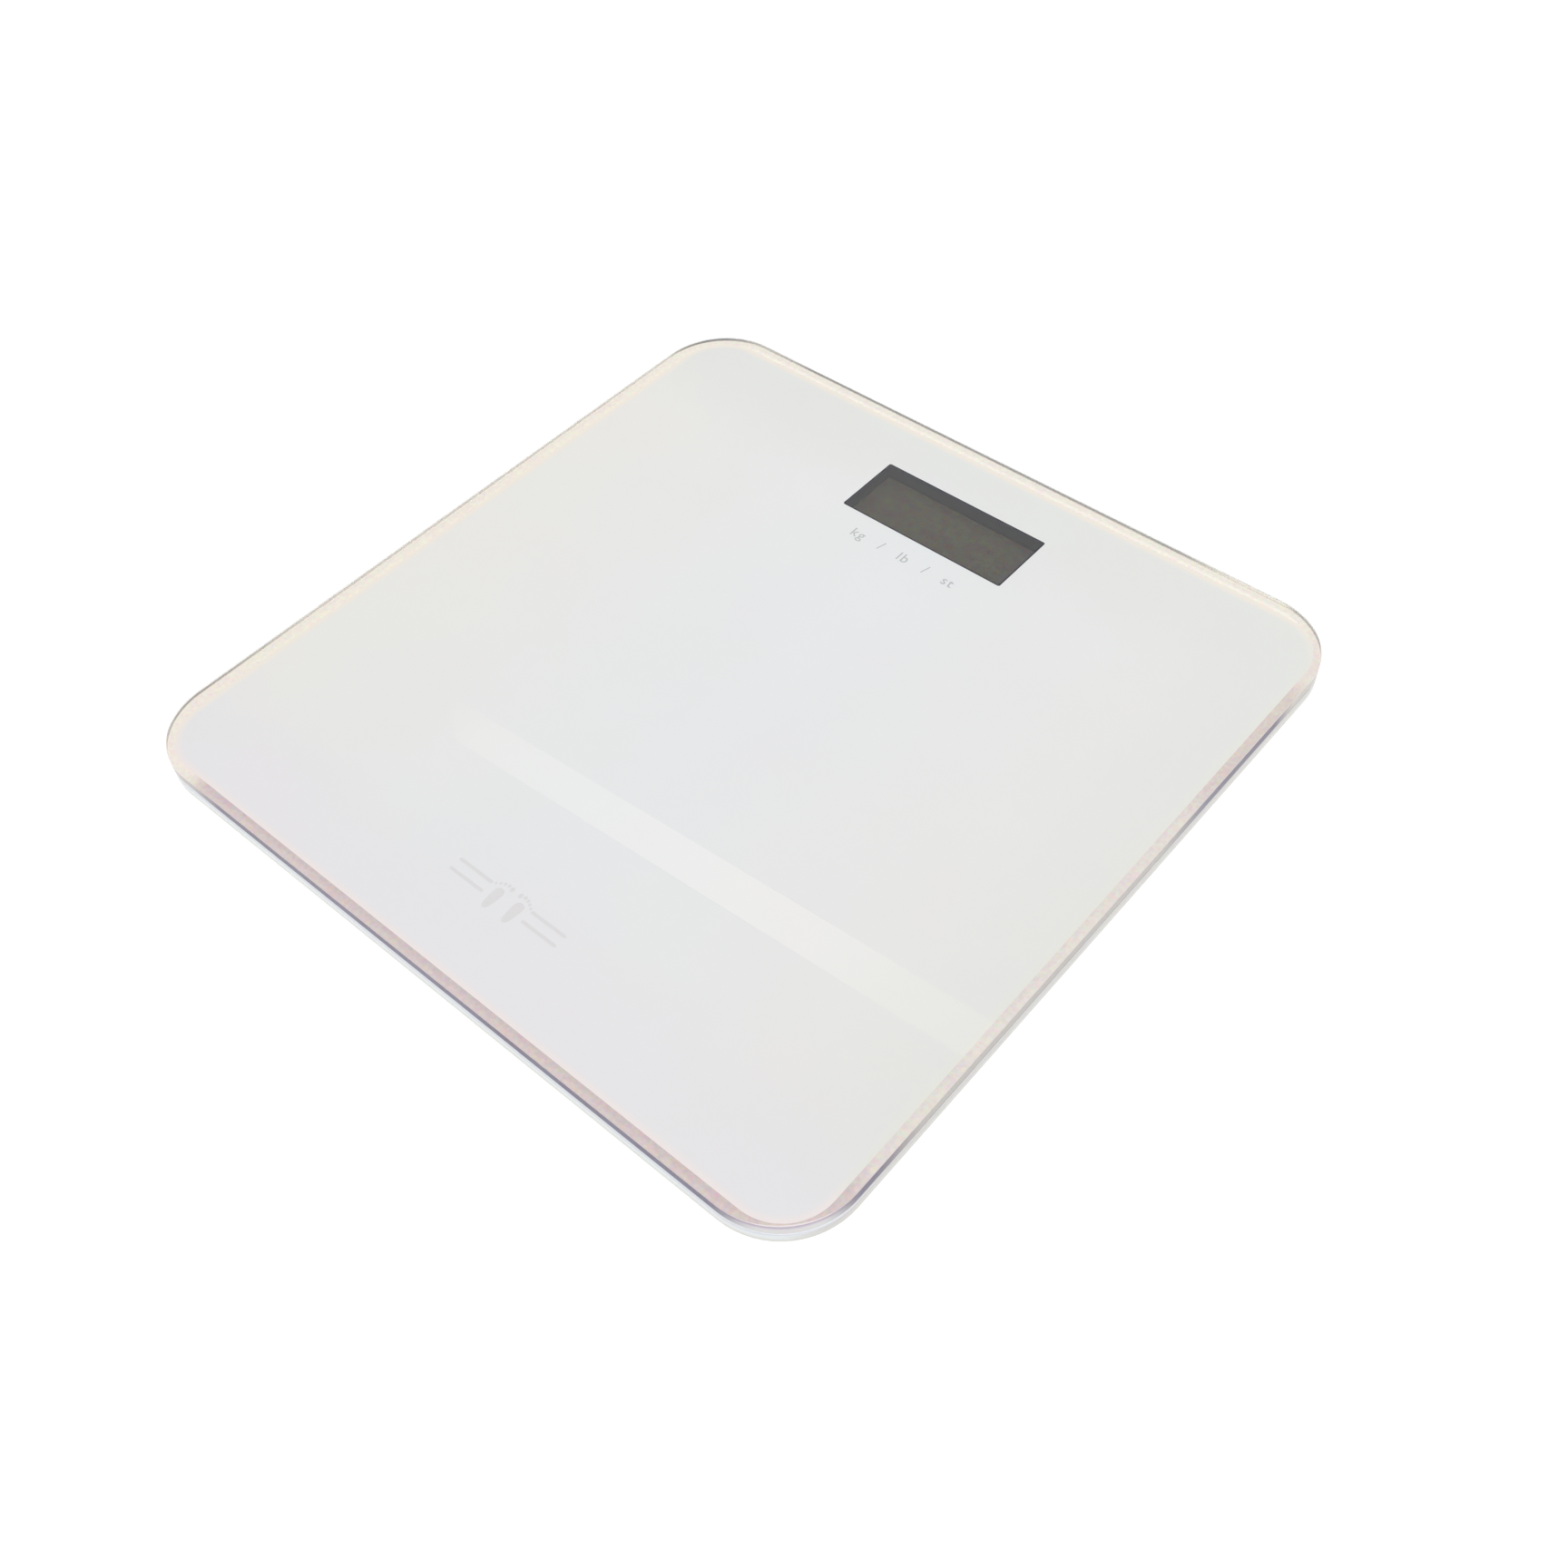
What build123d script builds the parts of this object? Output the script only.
from build123d import *
import os

# Electronic bathroom scale: a square tempered-glass platform bonded to a shallow moulded tray that
# stands on four load-sensing feet, with a liquid-crystal display under a window near the far edge.
# Millimetres. +X is the user's right, +Y points away from the user towards the display, +Z is up.
# The origin is the middle of the footprint on the floor.

# ---- platform -------------------------------------------------------------------------------
PLATE = 300.0            # side of the square glass
PLATE_R = 28.0           # corner radius of the glass
PLATE_TOP = 22.0         # standing surface above the floor
GLASS_T = 5.0
GLASS_ARRIS = 0.4        # radius of the polished arris along both rims
FILM_T = 0.2             # printed film laminated to the back of the glass
FILM_INSET = 4.2         # clear, unprinted margin round the film
FILM_R = 19.0
TAPE_T = 0.8             # foam bonding tape under the film
TAPE_INSET = 0.3
TAPE_W = 11.0
FOAM_STRIP_L = 110.0     # strips on the tray's cross ribs
FOAM_STRIP_W = 8.0
FOAM_PAD = 30.0          # square pads on the load cell carriers
FOAM_PAD_R = 3.0

# ---- display --------------------------------------------------------------------------------
DISPLAY_X = 1.5          # the display sits a little to the right of the platform's middle
DISPLAY_Y = 110.4
WINDOW_W = 73.6
WINDOW_D = 29.1
WINDOW_R = 0.8
LCD_W = 75.2
LCD_D = 32.0
LCD_T = 1.6
LCD_R = 0.3
LCD_LEDGE = 2.4          # strip of the lower plate that the upper plate leaves bare for the contacts
LCD_DEPTH = 5.0          # from the back of the film down to the face of the display
LCD_FIT = 0.15           # clearance round the display in its bezel
VIEW_W = 72.2            # opening at the foot of the bezel's sloping walls
VIEW_D = 25.8
BEZEL_W = 84.0
BEZEL_D = 40.0
BEZEL_R = 2.0
LUG_T = 2.0              # thickness of the bezel's screw lugs
LUG_ROOT = 5.0           # how far a lug's arm reaches into the bezel
CONNECTOR_L = 68.0
CONNECTOR_W = 2.0
CONNECTOR_INSET = 0.5    # from the display's back edge

# ---- tray -----------------------------------------------------------------------------------
WALL = 2.0
FLOOR_Z = 4.0            # underside of the tray
SKIRT_H = 4.3            # visible rim under the glass
SKIRT_ROUND = 0.8
PAN_TOP_INSET = 12.0     # inner face of the pan wall at the ledge
PAN_FLOOR_INSET = 16.0   # inner face of the pan wall at the floor
PAN_R = 16.0             # corner radius of the pan at the ledge
RIB_T = 1.6
RIB_BITE = 1.0           # how far the ribs run into the pan's wall
RIB_CLEAR = 6.0          # room between the ribs and the carriers' ears
RIB_X = (-60.0, -20.0, 20.0, 60.0)     # ribs that run along Y
RIB_Y = (-100.0, -60.0, -20.0, 20.0)   # ribs that run along X
LABEL_W = 70.0
LABEL_D = 34.0
LABEL_R = 3.0
LABEL_T = 0.15
LABEL_Y = -40.0

# ---- screws ---------------------------------------------------------------------------------
BOSS_D = 6.0
PILOT_Z = FLOOR_Z + 0.8  # blind end of every pilot hole
TIP_Z = FLOOR_Z + 0.9    # tip of every screw
PILOT_GAP = 0.1          # a pilot hole's diameter over the screw's
BOARD_SCREW_X = 45.0     # from the middle of the display
BOARD_SCREW_Y = 19.0
BOARD_SCREW_D = 2.0
BOARD_HEAD_D = 4.4
BOARD_HOLE_D = 2.2
CARRIER_SCREW_D = 2.2
CARRIER_HEAD_D = 5.0
CARRIER_HOLE_D = 2.6

# ---- feet and load cells --------------------------------------------------------------------
FOOT_XY = 106.0
FOOT_TRAVEL = 0.6
PAD_D = 24.0
PAD_T = 2.0
PAD_PROUD = 1.0          # how far the pad stands out of its cap
PAD_CHAMFER = 0.4
CAP_D = 28.0
CAP_ROUND = 0.6
CAP_FLANGE_D = 30.0
CAP_FLANGE_T = 1.4
CAP_FLANGE_GAP = 0.2     # radial room round the flange
THRUST_D = 8.0           # the cap's thrust button under the load cell's tongue
THRUST_H = 2.0
THRUST_ROUND = 0.8
THRUST_GAP = 0.05        # left over the button when the foot is fully pressed
GUIDE_GAP = 0.1          # radial running clearance of the foot caps and the unit button
SEAT_D = 33.6            # collar round a foot's hole
CELL = 34.0
CELL_T = 2.2
CELL_R = 3.0
CELL_WINDOW = 24.0
CELL_WINDOW_R = 2.0
TONGUE_STEM_W = 9.0
TONGUE_HEAD_W = 18.0
TONGUE_HEAD_X = (-7.0, 3.0)
GAUGE_X = 7.5            # gauges at the tongue's root, from the middle of the foot
GAUGE_L = 7.0
GAUGE_W = 8.0
GAUGE_H = 1.3
GAUGE_ROUND = 0.8
CARRIER = 42.0
CARRIER_R = 3.0
CARRIER_ROOF = 1.8
CARRIER_FIT = 0.1        # clearance round the load cell in its carrier
WIRE_SLOT_W = 6.0        # slot in the carrier's side for the load cell's wires
EAR_REACH = 25.0         # carrier screw from the middle of the foot
EAR_R = 4.0
EAR_T = 2.0
EAR_ROOT = 3.0           # how far an ear's arm reaches into the carrier

# ---- battery compartment --------------------------------------------------------------------
BATTERY_Y = 56.0         # middle of the compartment
BAY_W = 36.0
BAY_FRONT = 13.5         # opening's reach towards the user
BAY_BACK = 14.5          # opening's reach towards the display
BAY_ROOF_Z = 10.4
BAY_TOP_Z = 12.0
COIN_D = 20.0
COIN_T = 3.2
COIN_Z = 5.9
COIN_SHIFT = 1.5         # the cell sits off the compartment's middle to clear the hinge
COIN_CAP_STEP = 0.4      # height of the raised negative cap
COIN_RIM = 1.5           # the cap's edge inside the can's
COIN_ROUND = 0.5
WELL_GAP = 0.2           # radial clearance of the cell in its well
WELL_WALL = 1.6
WELL_LIFT = 0.2          # the well's wall stays this far above the door
WELL_SLOT = (COIN_D / 2 - 1, COIN_D / 2 + 3)
WELL_SLOT_W = 6.0
CONTACT_T = 0.3
CONTACT_W = 5.0
TAIL_W = 3.0
TAIL_GAP = 0.2           # room round a contact's tail in the roof
LEAF_X = (-8.4, -5.0, 0.0, 5.0, 8.0)   # bends of the negative leaf spring
BLADE_LIFT = 0.6         # foot of the positive blade above the tray's floor
HINGE_SETBACK = 12.0     # hinge axis from the middle of the compartment, towards the user
HINGE_Z = FLOOR_Z + 1.4
HINGE_R = 1.4
TRUNNION_R = 0.6
TRUNNION_GAP = 0.05
TRUNNION_SPAN = 39.0     # over both trunnions' ends
DOOR_T = 1.6
DOOR_GAP = 0.2
DOOR_RIB_X = 5.0
DOOR_RIB_T = 1.2
DOOR_RIB_INSET = 6.0
LATCH_SLOT_X = 7.0       # slots that free the latch tongue
LATCH_SLOT_W = 0.8
LATCH_SLOT_L = 7.0
GRIP_COUNT = 3
GRIP_L = 8.0
GRIP_W = 0.8
GRIP_DEPTH = 0.4
GRIP_PITCH = 1.6
GRIP_START = 2.0         # first groove from the door's back edge
SCOOP_R = 6.0            # finger scoop in the tray behind the door
SCOOP_FLATTEN = (1.0, 0.8, 0.18)

# ---- circuit board and button ---------------------------------------------------------------
BOARD_W = 96.0
BOARD_D = 46.0
BOARD_T = 1.2
BOARD_R = 2.0
BOARD_Z = 8.6
CHIP_X = -18.0
CHIP_D = 11.0
CHIP_H = 1.2
CHIP_ROUND = 1.0
CHIPLET = (2.0, 1.25, 0.7)             # small ceramic part
CHIPLET_X = (-36.0, -30.0, -2.0, 4.0, 10.0)
CHIPLET_Y = (-9.0, 0.0, 8.0)
CAN_AT = (18.0, -10.0)                 # round capacitor
CAN_D = 5.0
CAN_H = 1.8
UNIT_X = 32.0            # unit button from the middle of the display
UNIT_D = 10.0
UNIT_TRAVEL = 0.5
UNIT_SINK = 0.2          # button's face above the tray's underside
UNIT_ROUND = 0.3
UNIT_FLANGE_D = 12.0
UNIT_FLANGE_T = 0.5
SWITCH = 5.2
SWITCH_R = 0.4
SWITCH_H = 1.2
PLUNGER_D = 2.4
PLUNGER_GAP = 0.1        # left under the switch's plunger when the button is fully pressed

# ---- wires ----------------------------------------------------------------------------------
WIRE_R = 0.5
WIRE_PITCH = 1.4
WIRE_Z = 12.9
WIRE_START = 95.0        # where the wires leave the gauges, from the platform's middle
WIRE_LANE_X = 70.0       # where the front cells' wires run along the tray
WIRE_LANE_Y = 99.0
WIRE_END_X = 45.0
NOTCH = 4.0              # half width of the notches that the ribs have for the wires
LEAD_LANDING = 1.2       # battery leads' ends from the board's front edge

# ---- places that follow ---------------------------------------------------------------------
GLASS_Z = PLATE_TOP - GLASS_T
FILM_Z = GLASS_Z - FILM_T
LEDGE_Z = FILM_Z - TAPE_T
SKIRT_Z = LEDGE_Z - SKIRT_H
PAN_Z = FLOOR_Z + WALL
BOARD_TOP = BOARD_Z + BOARD_T
LCD_TOP = FILM_Z - LCD_DEPTH
LCD_Z = LCD_TOP - LCD_T
CAP_Z = PAD_T - PAD_PROUD
CAP_TOP = PAN_Z + CAP_FLANGE_T
CELL_Z = CAP_TOP + THRUST_H + FOOT_TRAVEL + THRUST_GAP
CELL_TOP = CELL_Z + CELL_T
EAR_Z = PAN_Z + 2.0
EAR_TOP = EAR_Z + EAR_T
COIN_Y = BATTERY_Y + COIN_SHIFT
COIN_TOP = COIN_Z + COIN_T
BAY_FRONT_Y = BATTERY_Y - BAY_FRONT
BAY_BACK_Y = BATTERY_Y + BAY_BACK
HINGE_Y = BATTERY_Y - HINGE_SETBACK
TAIL_TOP = WIRE_Z - WIRE_R
CORNERS = {"front_left": (-1, -1), "front_right": (1, -1), "back_left": (-1, 1), "back_right": (1, 1)}


# ---- shapes and places ----------------------------------------------------------------------
def slab(width, depth, radius, low, high):
    """A plate with rounded corners between two heights, centred on the Z axis."""
    return Pos(0, 0, low) * extrude(RectangleRounded(width, depth, radius), high - low)


def block(low, high):
    """A box from its lowest corner to its highest corner."""
    size = [b - a for a, b in zip(low, high)]
    return Pos(*low) * Box(*size, align=(Align.MIN, Align.MIN, Align.MIN))


def disc(diameter, low, high):
    """A cylinder on the Z axis between two heights."""
    return Pos(0, 0, low) * Cylinder(diameter / 2, high - low, align=(Align.CENTER, Align.CENTER, Align.MIN))


def rod(radius, length):
    """A cylinder along X, centred on the origin."""
    return Rot(0, 90, 0) * Cylinder(radius, length)


def union(shapes):
    """One part made of several shapes, which may stay apart as separate solids."""
    total = shapes[0]
    for shape in shapes[1:]:
        total = total + shape
    return total


def four_times(shape):
    """A shape in the quarter of +X and +Y, with its three mirror images."""
    pair = shape + mirror(shape, Plane.YZ)
    return pair + mirror(pair, Plane.XZ)


def rims(shape, *heights):
    """The edges that lie flat at the given heights."""
    flat = shape.edges().filter_by(lambda e: e.bounding_box().size.Z < 1e-4)
    return flat.filter_by(lambda e: any(abs(e.center().Z - z) < 1e-4 for z in heights))


def at_foot(corner, shape):
    """A shape modelled about a foot's own axis, placed at a corner with its inner side turned inwards."""
    sx, sy = CORNERS[corner]
    if sx > 0:
        shape = mirror(shape, Plane.YZ)
    if sy > 0:
        shape = mirror(shape, Plane.XZ)
    return Pos(sx * FOOT_XY, sy * FOOT_XY, 0) * shape


def at_display(shape):
    """A shape modelled about the display's middle, in its place."""
    return Pos(DISPLAY_X, DISPLAY_Y, 0) * shape


def at_board_screws(shape):
    """A shape modelled about a screw's axis, at the board's four screws."""
    return at_display(four_times(Pos(BOARD_SCREW_X, BOARD_SCREW_Y, 0) * shape))


def ear_places():
    """The carrier's two screws, on the two sides of a front left foot that face the middle."""
    return ((EAR_REACH, 0), (0, EAR_REACH))


def at_ears(shape):
    """A shape modelled about a screw's axis, at the two ears of a front left foot's carrier."""
    return union([Pos(x, y, 0) * shape for x, y in ear_places()])


# ---- platform -------------------------------------------------------------------------------
def glass_platform():
    """Tempered glass with a polished arris along both rims."""
    glass = slab(PLATE, PLATE, PLATE_R, GLASS_Z, PLATE_TOP)
    return fillet(rims(glass, GLASS_Z, PLATE_TOP), GLASS_ARRIS)


def backing_film():
    """White film behind the glass, short of its edge, with the display window cut out."""
    side = PLATE - 2 * FILM_INSET
    window = slab(WINDOW_W, WINDOW_D, WINDOW_R, FILM_Z, GLASS_Z)
    return slab(side, side, FILM_R, FILM_Z, GLASS_Z) - at_display(window)


def bonding_tape():
    """A closed ring of foam tape that fills the clear margin and bonds the glass to the tray's ledge."""
    outer = PLATE - 2 * TAPE_INSET
    inner = outer - 2 * TAPE_W
    film = PLATE - 2 * FILM_INSET
    ring = slab(outer, outer, PLATE_R - TAPE_INSET, LEDGE_Z, GLASS_Z)
    ring -= slab(inner, inner, PLATE_R - TAPE_INSET - TAPE_W, LEDGE_Z, GLASS_Z)
    return ring - slab(film, film, FILM_R, FILM_Z, GLASS_Z)


def support_pads():
    """Foam strips on the tray's cross ribs and foam pads on the load cell carriers."""
    reach = FOAM_STRIP_L / 2
    half = FOAM_STRIP_W / 2
    strips = union([block((-reach, y - half, LEDGE_Z), (reach, y + half, FILM_Z)) for y in RIB_Y])
    pad = slab(FOAM_PAD, FOAM_PAD, FOAM_PAD_R, LEDGE_Z, FILM_Z)
    return strips + four_times(Pos(FOOT_XY, FOOT_XY, 0) * pad)


# ---- tray -----------------------------------------------------------------------------------
def pan(inset_low, inset_high, radius_high, low, high):
    """A flared block: a rounded square at the low height that widens to another at the high one."""
    shrink = inset_low - inset_high
    sections = []
    for inset, radius, z in ((inset_low, radius_high - shrink, low), (inset_high, radius_high, high)):
        side = PLATE - 2 * inset
        sections.append(Pos(0, 0, z) * RectangleRounded(side, side, radius))
    return loft(sections, ruled=True)


def tray_shell():
    """Ledge with a hanging skirt, and a pan below it."""
    shell = slab(PLATE, PLATE, PLATE_R, SKIRT_Z, LEDGE_Z)
    shell = fillet(rims(shell, SKIRT_Z, LEDGE_Z), SKIRT_ROUND)
    inner = PLATE - 2 * WALL
    shell -= slab(inner, inner, PLATE_R - WALL, SKIRT_Z - 1, LEDGE_Z - WALL)
    slope = (PAN_FLOOR_INSET - PAN_TOP_INSET) / (LEDGE_Z - PAN_Z)
    low_inset = PAN_FLOOR_INSET - WALL + WALL * slope
    high_inset = low_inset - (LEDGE_Z - FLOOR_Z) * slope
    shell += pan(low_inset, high_inset, PAN_R + WALL, FLOOR_Z, LEDGE_Z)
    return shell - pan(PAN_FLOOR_INSET, PAN_TOP_INSET, PAN_R, PAN_Z, LEDGE_Z)


def wire_notches():
    """Notches in the ribs' top edges for the wires of the load cells."""
    wall = PLATE / 2 - PAN_FLOOR_INSET
    low = WIRE_Z - 2 * WIRE_R
    lane = block((WIRE_LANE_X - NOTCH, -wall, low), (WIRE_LANE_X + NOTCH, wall, LEDGE_Z))
    last = RIB_X[-1]
    crossing = block((last - RIB_T, WIRE_LANE_Y - NOTCH, low), (last + RIB_T, FOOT_XY + NOTCH, LEDGE_Z))
    notches = lane + crossing
    return notches + mirror(notches, Plane.YZ)


def tray_ribs():
    """A lattice of upright ribs that stops short of the board, the battery bay and the feet."""
    wall = PLATE / 2 - PAN_FLOOR_INSET + RIB_BITE
    foot_side = FOOT_XY - CARRIER / 2 - EAR_R - RIB_CLEAR
    ribs = []
    for x in RIB_X:
        back = wall if abs(x) > BOARD_W / 2 else BAY_FRONT_Y - WALL
        ribs.append(block((x - RIB_T / 2, -wall, PAN_Z), (x + RIB_T / 2, back, LEDGE_Z)))
    for y in RIB_Y:
        reach = wall if abs(y) < foot_side else foot_side
        ribs.append(block((-reach, y - RIB_T / 2, PAN_Z), (reach, y + RIB_T / 2, LEDGE_Z)))
    return union(ribs) - wire_notches()


def bay_walls():
    """The battery bay's walls and roof, standing on the tray floor."""
    half = BAY_W / 2 + WALL
    return block((-half, BAY_FRONT_Y - WALL, FLOOR_Z), (half, BAY_BACK_Y + WALL, BAY_TOP_Z))


def well_wall():
    """Round wall that holds the cell in place, open at the positive contact."""
    gap_d = COIN_D + 2 * WELL_GAP
    wall = disc(gap_d + 2 * WELL_WALL, PAN_Z + WELL_LIFT, BAY_ROOF_Z) - disc(gap_d, PAN_Z, BAY_ROOF_Z)
    start, end = WELL_SLOT
    return wall - block((start, -WELL_SLOT_W / 2, PAN_Z), (end, WELL_SLOT_W / 2, BAY_ROOF_Z))


def tail_slot(x):
    """Slot in the bay's roof for a contact's tail whose left face is at x."""
    half = TAIL_W / 2 + TAIL_GAP
    return block((x - TAIL_GAP, -half, BAY_ROOF_Z), (x + CONTACT_T + TAIL_GAP, half, BAY_TOP_Z))


def bay_space():
    """What the battery bay leaves open: room for the door and the cell, tail slots and the hinge's seats."""
    space = block((-BAY_W / 2, BAY_FRONT_Y, FLOOR_Z), (BAY_W / 2, BAY_BACK_Y, BAY_ROOF_Z))
    space -= Pos(0, COIN_Y, 0) * well_wall()
    space += Pos(0, COIN_Y, 0) * (tail_slot(LEAF_X[0]) + tail_slot(COIN_D / 2))
    seats = rod(TRUNNION_R + TRUNNION_GAP, TRUNNION_SPAN + 4 * TRUNNION_GAP)
    return space + Pos(0, HINGE_Y, HINGE_Z) * seats


def finger_scoop():
    """Shallow hollow behind the door's latch."""
    return Pos(0, BAY_BACK_Y, FLOOR_Z) * scale(Sphere(SCOOP_R), by=SCOOP_FLATTEN)


def foot_seat():
    """Collar round a foot's hole, which carries the load cell, and the bosses for its carrier's screws."""
    return disc(SEAT_D, PAN_Z, CELL_Z) + at_ears(disc(BOSS_D, PAN_Z, EAR_Z))


def foot_hole():
    """Guide hole for the foot cap, room for its flange, and the pilot holes."""
    guide = disc(CAP_D + 2 * GUIDE_GAP, FLOOR_Z, PAN_Z)
    room = disc(CAP_FLANGE_D + 2 * CAP_FLANGE_GAP, PAN_Z, CELL_Z)
    return guide + room + at_ears(disc(CARRIER_SCREW_D + PILOT_GAP, PILOT_Z, EAR_Z))


def base_tray():
    """The one-piece moulded tray."""
    tray = tray_shell() + tray_ribs() + bay_walls()
    tray += union([at_foot(corner, foot_seat()) for corner in CORNERS])
    tray += at_board_screws(disc(BOSS_D, PAN_Z, BOARD_Z))
    tray -= at_board_screws(disc(BOARD_SCREW_D + PILOT_GAP, PILOT_Z, BOARD_Z))
    tray -= bay_space()
    for corner in CORNERS:
        tray -= at_foot(corner, foot_hole())
    tray -= at_display(Pos(UNIT_X, 0, 0) * disc(UNIT_D + 2 * GUIDE_GAP, FLOOR_Z, PAN_Z))
    return tray - finger_scoop() - rating_label()


def rating_label():
    """Blank label that fills its recess in the underside."""
    return Pos(0, LABEL_Y, 0) * slab(LABEL_W, LABEL_D, LABEL_R, FLOOR_Z, FLOOR_Z + LABEL_T)


# ---- feet -----------------------------------------------------------------------------------
def foot_pad():
    """Soft disc that stands on the floor."""
    pad = disc(PAD_D, 0, PAD_T)
    return chamfer(rims(pad, 0), PAD_CHAMFER)


def foot_cap():
    """Plunger with a recess for the pad, a retaining flange and a thrust button."""
    cap = disc(CAP_D, CAP_Z, PAN_Z)
    cap = fillet(rims(cap, CAP_Z), CAP_ROUND)
    cap += disc(CAP_FLANGE_D, PAN_Z, CAP_TOP)
    cap += disc(THRUST_D, CAP_TOP, CAP_TOP + THRUST_H)
    cap = fillet(rims(cap, CAP_TOP + THRUST_H), THRUST_ROUND)
    return cap - disc(PAD_D, CAP_Z, PAD_T)


def load_cell():
    """Square steel plate with a T-shaped tongue cut free inside its frame."""
    plate = slab(CELL, CELL, CELL_R, CELL_Z, CELL_TOP)
    plate -= slab(CELL_WINDOW, CELL_WINDOW, CELL_WINDOW_R, CELL_Z, CELL_TOP)
    stem = block((0, -TONGUE_STEM_W / 2, CELL_Z), (CELL_WINDOW / 2 + 1, TONGUE_STEM_W / 2, CELL_TOP))
    start, end = TONGUE_HEAD_X
    head = block((start, -TONGUE_HEAD_W / 2, CELL_Z), (end, TONGUE_HEAD_W / 2, CELL_TOP))
    return plate + stem + head


def gauge_cover():
    """Silicone blob over the strain gauges at the root of the tongue."""
    cover = Pos(GAUGE_X, 0, 0) * slab(GAUGE_L, GAUGE_W, 2 * GAUGE_ROUND, CELL_TOP, CELL_TOP + GAUGE_H)
    return fillet(rims(cover, CELL_TOP + GAUGE_H), GAUGE_ROUND)


def carrier_ear():
    """Ear for a screw to the right of the carrier, with the arm that joins it on."""
    arm = block((CARRIER / 2 - EAR_ROOT, -EAR_R, EAR_Z), (EAR_REACH, EAR_R, EAR_TOP))
    return arm + Pos(EAR_REACH, 0, 0) * disc(2 * EAR_R, EAR_Z, EAR_TOP)


def cell_carrier():
    """Cap over the load cell that passes its push on to the glass."""
    body = slab(CARRIER, CARRIER, CARRIER_R, PAN_Z, LEDGE_Z)
    body += carrier_ear() + Rot(0, 0, 90) * carrier_ear()
    pocket = CELL + 2 * CARRIER_FIT
    roof_z = LEDGE_Z - CARRIER_ROOF
    body -= slab(pocket, pocket, CELL_R, PAN_Z, CELL_TOP)
    body -= slab(CELL_WINDOW + 1, CELL_WINDOW + 1, CELL_WINDOW_R, CELL_TOP, roof_z)
    body -= block((CELL_WINDOW / 2, -WIRE_SLOT_W / 2, CELL_TOP), (CARRIER / 2, WIRE_SLOT_W / 2, roof_z))
    return body - at_ears(disc(CARRIER_HOLE_D, EAR_Z, EAR_TOP))


def screw(shank_d, head_d, seat):
    """Pan-head self-tapping screw with a cross recess; its thread is left plain."""
    head_h = 0.32 * head_d
    top = seat + head_h
    head = disc(head_d, seat, top)
    head = fillet(rims(head, top), 0.3 * head_h)
    for angle in (0, 90):
        head -= Rot(0, 0, angle) * Pos(0, 0, top) * Box(0.6 * head_d, 0.14 * head_d, head_h)
    return head + disc(shank_d, TIP_Z, seat)


def carrier_screws():
    """Two screws for each carrier."""
    pair = at_ears(screw(CARRIER_SCREW_D, CARRIER_HEAD_D, EAR_TOP))
    return union([at_foot(corner, pair) for corner in CORNERS])


# ---- display --------------------------------------------------------------------------------
def bezel_lug():
    """Lug for one board screw, in the quarter of +X and +Y, with the arm that joins it to the bezel."""
    top = BOARD_TOP + LUG_T
    low = (BEZEL_W / 2 - LUG_ROOT, BOARD_SCREW_Y - BOSS_D / 2, BOARD_TOP)
    arm = block(low, (BOARD_SCREW_X, BOARD_SCREW_Y + BOSS_D / 2, top))
    return arm + Pos(BOARD_SCREW_X, BOARD_SCREW_Y, 0) * disc(BOSS_D, BOARD_TOP, top)


def display_bezel():
    """Black frame that holds the display against the board, with walls that slope in from the window."""
    frame = slab(BEZEL_W, BEZEL_D, BEZEL_R, BOARD_TOP, FILM_Z) + four_times(bezel_lug())
    top = Pos(0, 0, FILM_Z) * RectangleRounded(WINDOW_W + 1, WINDOW_D + 1, WINDOW_R)
    foot = Pos(0, 0, LCD_TOP) * RectangleRounded(VIEW_W, VIEW_D, WINDOW_R)
    frame -= loft([foot, top], ruled=True)
    frame -= slab(LCD_W + 2 * LCD_FIT, LCD_D + 2 * LCD_FIT, LCD_R, BOARD_TOP, LCD_TOP)
    return at_display(frame) - at_board_screws(disc(BOARD_HOLE_D, BOARD_TOP, BOARD_TOP + LUG_T))


def lcd_panel():
    """Display glass: a lower plate and a shallower upper plate, which leaves the contacts bare."""
    middle = LCD_Z + LCD_T / 2
    lower = slab(LCD_W, LCD_D, LCD_R, LCD_Z, middle)
    upper = Pos(0, -LCD_LEDGE / 2, 0) * slab(LCD_W, LCD_D - LCD_LEDGE, LCD_R, middle, LCD_TOP)
    return at_display(lower + upper)


def lcd_connector():
    """Thin conductive strip that joins the display's edge contacts to the board."""
    half = CONNECTOR_L / 2
    back = LCD_D / 2 - CONNECTOR_INSET
    return at_display(block((-half, back - CONNECTOR_W, BOARD_TOP), (half, back, LCD_Z)))


def circuit_board():
    """Board under the display, with its four screw holes."""
    board = at_display(slab(BOARD_W, BOARD_D, BOARD_R, BOARD_Z, BOARD_TOP))
    return board - at_board_screws(disc(BOARD_HOLE_D, BOARD_Z, BOARD_TOP))


def board_screws():
    """Four screws through the bezel's lugs and the board into the tray."""
    return at_board_screws(screw(BOARD_SCREW_D, BOARD_HEAD_D, BOARD_TOP + LUG_T))


def controller_chip():
    """Bare chip under a round drop of epoxy, on the underside of the board."""
    drop = disc(CHIP_D, BOARD_Z - CHIP_H, BOARD_Z)
    return at_display(Pos(CHIP_X, 0, 0) * fillet(rims(drop, BOARD_Z - CHIP_H), CHIP_ROUND))


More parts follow.
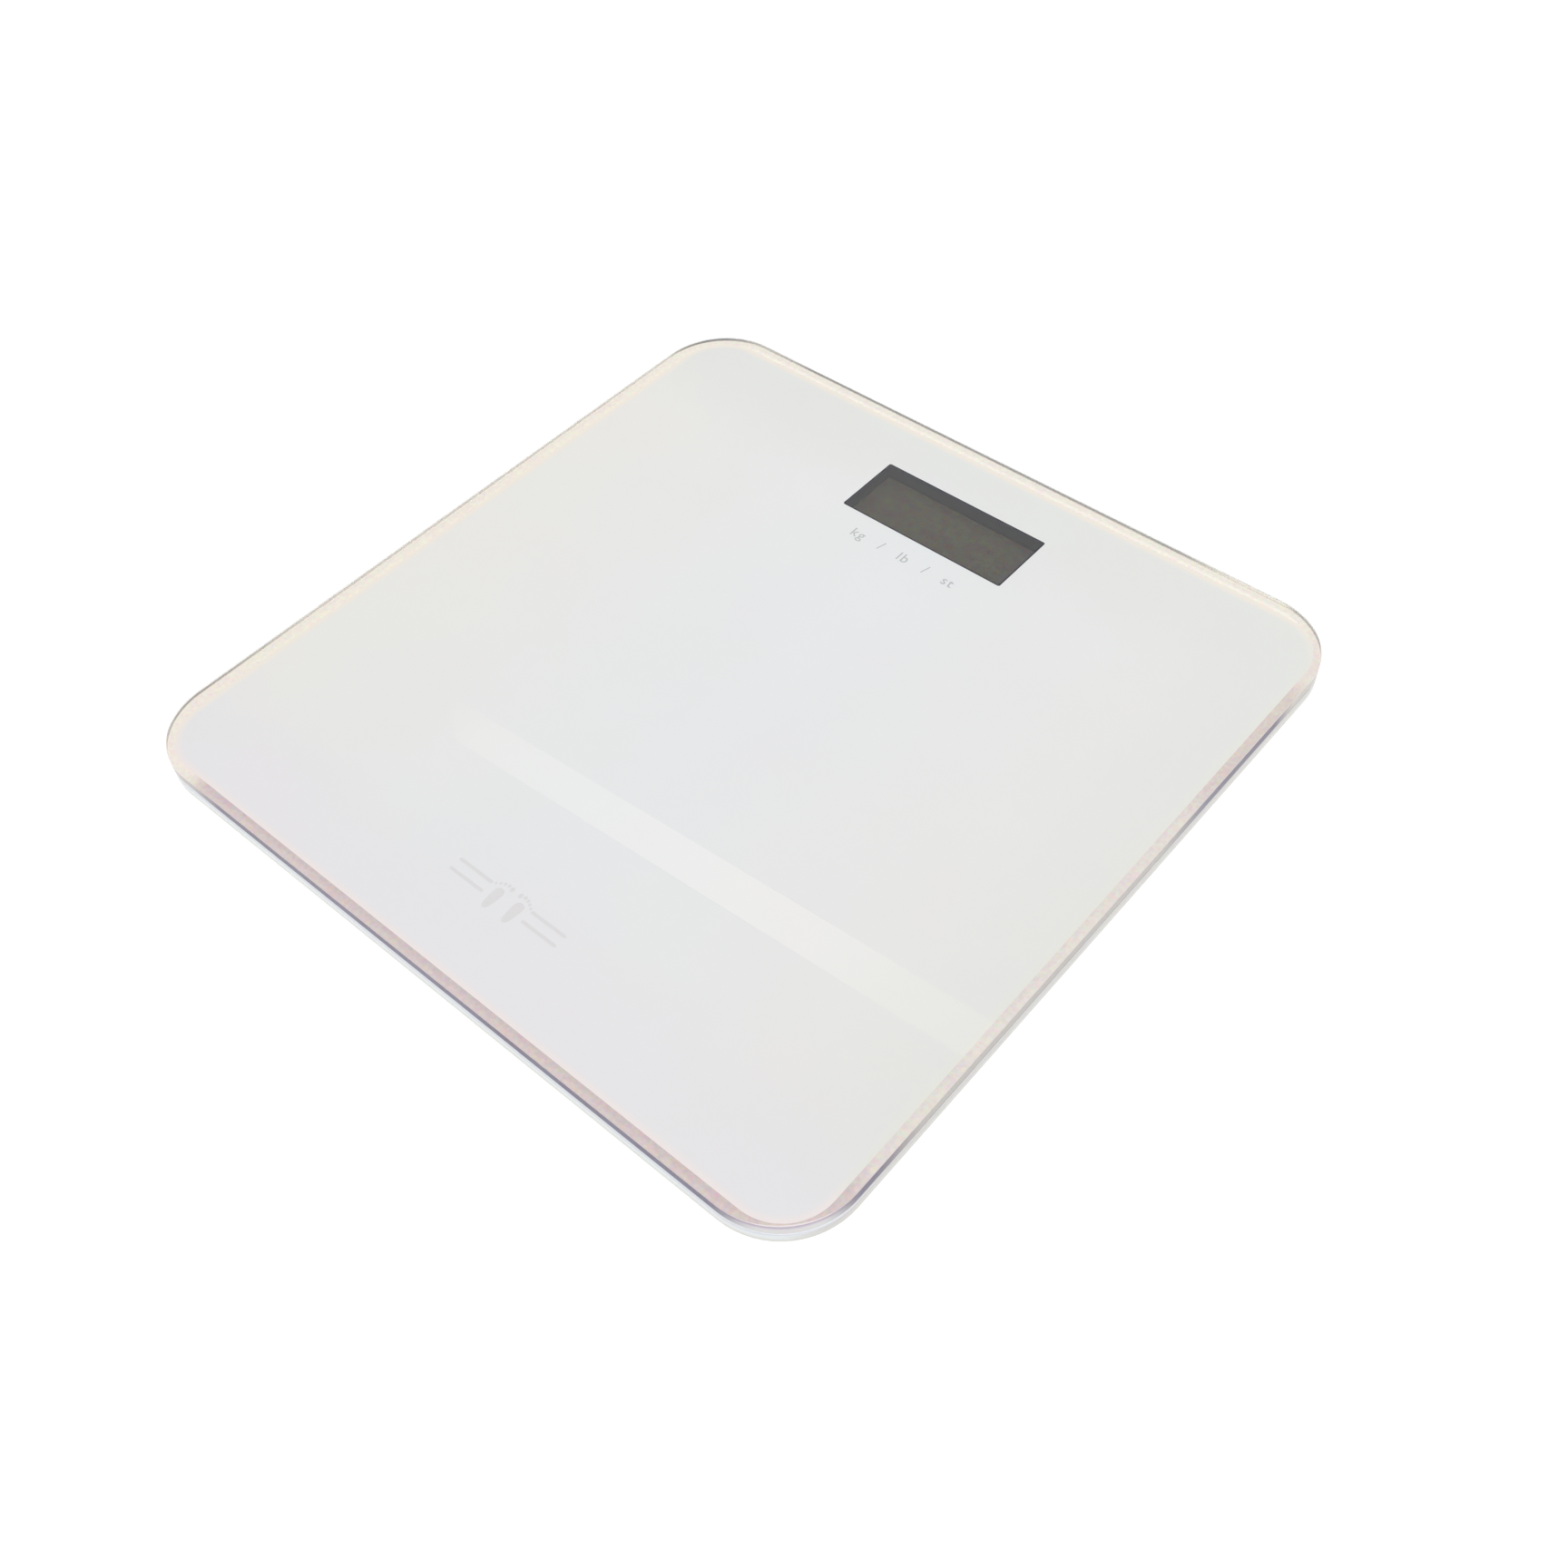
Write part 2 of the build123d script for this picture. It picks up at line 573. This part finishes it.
def board_components():
    """Small ceramic parts and a round capacitor under the board."""
    length, width, height = CHIPLET
    chiplet = block((0, 0, BOARD_Z - height), (length, width, BOARD_Z))
    parts = [Pos(x, y, 0) * chiplet for x in CHIPLET_X for y in CHIPLET_Y]
    parts.append(Pos(*CAN_AT, 0) * disc(CAN_D, BOARD_Z - CAN_H, BOARD_Z))
    return at_display(union(parts))


def unit_switch():
    """Low tactile switch on the underside of the board, above the unit button."""
    low = BOARD_Z - SWITCH_H
    tip = PAN_Z + UNIT_FLANGE_T + UNIT_TRAVEL + PLUNGER_GAP
    body = slab(SWITCH, SWITCH, SWITCH_R, low, BOARD_Z) + disc(PLUNGER_D, tip, low)
    return at_display(Pos(UNIT_X, 0, 0) * body)


def unit_button():
    """Button in the tray's underside that changes the unit of weight."""
    face = FLOOR_Z + UNIT_SINK
    cap = disc(UNIT_D, face, PAN_Z)
    cap = fillet(rims(cap, face), UNIT_ROUND)
    cap += disc(UNIT_FLANGE_D, PAN_Z, PAN_Z + UNIT_FLANGE_T)
    return at_display(Pos(UNIT_X, 0, 0) * cap)


# ---- battery --------------------------------------------------------------------------------
def coin_cell():
    """Lithium coin cell: a wide can with a smaller, raised negative cap on top."""
    can = disc(COIN_D, COIN_Z, COIN_TOP - COIN_CAP_STEP)
    can = fillet(rims(can, COIN_Z), COIN_ROUND)
    return Pos(0, COIN_Y, 0) * (can + disc(COIN_D - 2 * COIN_RIM, COIN_Z, COIN_TOP))


def battery_contact_negative():
    """Leaf spring under the bay's roof that presses on the cell's cap, with a tail up through the roof."""
    rest = BAY_ROOF_Z - CONTACT_T
    heights = (rest, rest, COIN_TOP, rest, rest)
    points = list(zip(LEAF_X, heights))
    upper = [(x, z + CONTACT_T) for x, z in reversed(points)]
    face = make_face(Polyline(*points, *upper, close=True))
    leaf = extrude(Plane.XZ * face, CONTACT_W / 2, both=True)
    start = LEAF_X[0]
    tail = block((start, -TAIL_W / 2, rest), (start + CONTACT_T, TAIL_W / 2, TAIL_TOP))
    return Pos(0, COIN_Y, 0) * (leaf + tail)


def battery_contact_positive():
    """Upright strip that touches the side of the cell's can, with a tail up through the roof."""
    start = COIN_D / 2
    end = start + CONTACT_T
    blade = block((start, -CONTACT_W / 2, PAN_Z + BLADE_LIFT), (end, CONTACT_W / 2, BAY_ROOF_Z))
    tail = block((start, -TAIL_W / 2, BAY_ROOF_Z), (end, TAIL_W / 2, TAIL_TOP))
    return Pos(0, COIN_Y, 0) * (blade + tail)


def latch_cuts(back):
    """Two slots that free the latch tongue and the grip grooves between them, from the door's back edge."""
    top = FLOOR_Z + DOOR_T
    slot = block((-LATCH_SLOT_W / 2, back - LATCH_SLOT_L, FLOOR_Z), (LATCH_SLOT_W / 2, back, top))
    cuts = [Pos(side * LATCH_SLOT_X, 0, 0) * slot for side in (-1, 1)]
    groove = block((-GRIP_L / 2, -GRIP_W / 2, FLOOR_Z), (GRIP_L / 2, GRIP_W / 2, FLOOR_Z + GRIP_DEPTH))
    cuts += [Pos(0, back - GRIP_START - GRIP_PITCH * step, 0) * groove for step in range(GRIP_COUNT)]
    return union(cuts)


def battery_door():
    """Door with trunnions at the front, a flexible latch tongue at the back and two ribs for the cell."""
    back = BAY_BACK_Y - DOOR_GAP
    half = BAY_W / 2 - DOOR_GAP
    top = FLOOR_Z + DOOR_T
    door = block((-half, HINGE_Y, FLOOR_Z), (half, back, top))
    door += Pos(0, HINGE_Y, HINGE_Z) * (rod(HINGE_R, 2 * half) + rod(TRUNNION_R, TRUNNION_SPAN))
    for x in (-DOOR_RIB_X, DOOR_RIB_X):
        low = (x - DOOR_RIB_T / 2, HINGE_Y + DOOR_RIB_INSET, top)
        door += block(low, (x + DOOR_RIB_T / 2, back - DOOR_RIB_INSET, COIN_Z))
    return door - latch_cuts(back)


# ---- wires ----------------------------------------------------------------------------------
def wire(points):
    """Insulated wire along straight runs, rounded where it turns."""
    pieces = [Pos(*p) * Sphere(WIRE_R) for p in points[1:-1]]
    for a, b in zip(points, points[1:]):
        start, end = Vector(*a), Vector(*b)
        run = Plane(origin=start, z_dir=end - start)
        length = (end - start).length
        pieces.append(run * Cylinder(WIRE_R, length, align=(Align.CENTER, Align.CENTER, Align.MIN)))
    return union(pieces)


def sensor_wires(lane):
    """One colour of wire from all four load cells to the board."""
    offset = lane * WIRE_PITCH
    wires = []
    for sx, sy in CORNERS.values():
        y = sy * FOOT_XY + offset
        points = [(sx * WIRE_START, y, WIRE_Z)]
        if sy < 0:
            lane_x = sx * (WIRE_LANE_X + offset)
            y_end = WIRE_LANE_Y + offset
            points += [(lane_x, y, WIRE_Z), (lane_x, y_end, WIRE_Z)]
            y = y_end
        points += [(sx * WIRE_END_X, y, WIRE_Z), (sx * WIRE_END_X, y, BOARD_TOP)]
        wires.append(wire(points))
    return union(wires)


def battery_lead(x):
    """Lead from a battery contact's tail to the front edge of the board."""
    end = DISPLAY_Y - BOARD_D / 2 + LEAD_LANDING
    return wire([(x, COIN_Y, WIRE_Z), (x, end, WIRE_Z), (x, end, BOARD_TOP)])


def build():
    """Every node by name."""
    nodes = {
        "glass_platform": glass_platform(),
        "backing_film": backing_film(),
        "bonding_tape": bonding_tape(),
        "support_pads": support_pads(),
        "base_tray": base_tray(),
        "rating_label": rating_label(),
        "carrier_screws": carrier_screws(),
        "display_bezel": display_bezel(),
        "lcd_panel": lcd_panel(),
        "lcd_connector": lcd_connector(),
        "circuit_board": circuit_board(),
        "board_screws": board_screws(),
        "controller_chip": controller_chip(),
        "board_components": board_components(),
        "unit_switch": unit_switch(),
        "unit_button": unit_button(),
        "coin_cell": coin_cell(),
        "battery_contact_negative": battery_contact_negative(),
        "battery_contact_positive": battery_contact_positive(),
        "battery_door": battery_door(),
        "battery_lead_negative": battery_lead(LEAF_X[0] + CONTACT_T / 2),
        "battery_lead_positive": battery_lead(COIN_D / 2 + CONTACT_T / 2),
    }
    for lane, colour in ((-1, "red"), (0, "black"), (1, "white")):
        nodes["sensor_wires_" + colour] = sensor_wires(lane)
    for corner in CORNERS:
        nodes["foot_pad_" + corner] = at_foot(corner, foot_pad())
        nodes["foot_cap_" + corner] = at_foot(corner, foot_cap())
        nodes["load_cell_" + corner] = at_foot(corner, load_cell())
        nodes["gauge_cover_" + corner] = at_foot(corner, gauge_cover())
        nodes["cell_carrier_" + corner] = at_foot(corner, cell_carrier())
    return nodes


os.makedirs("parts", exist_ok=True)
for name, shape in build().items():
    export_step(shape, f"parts/{name}.step")
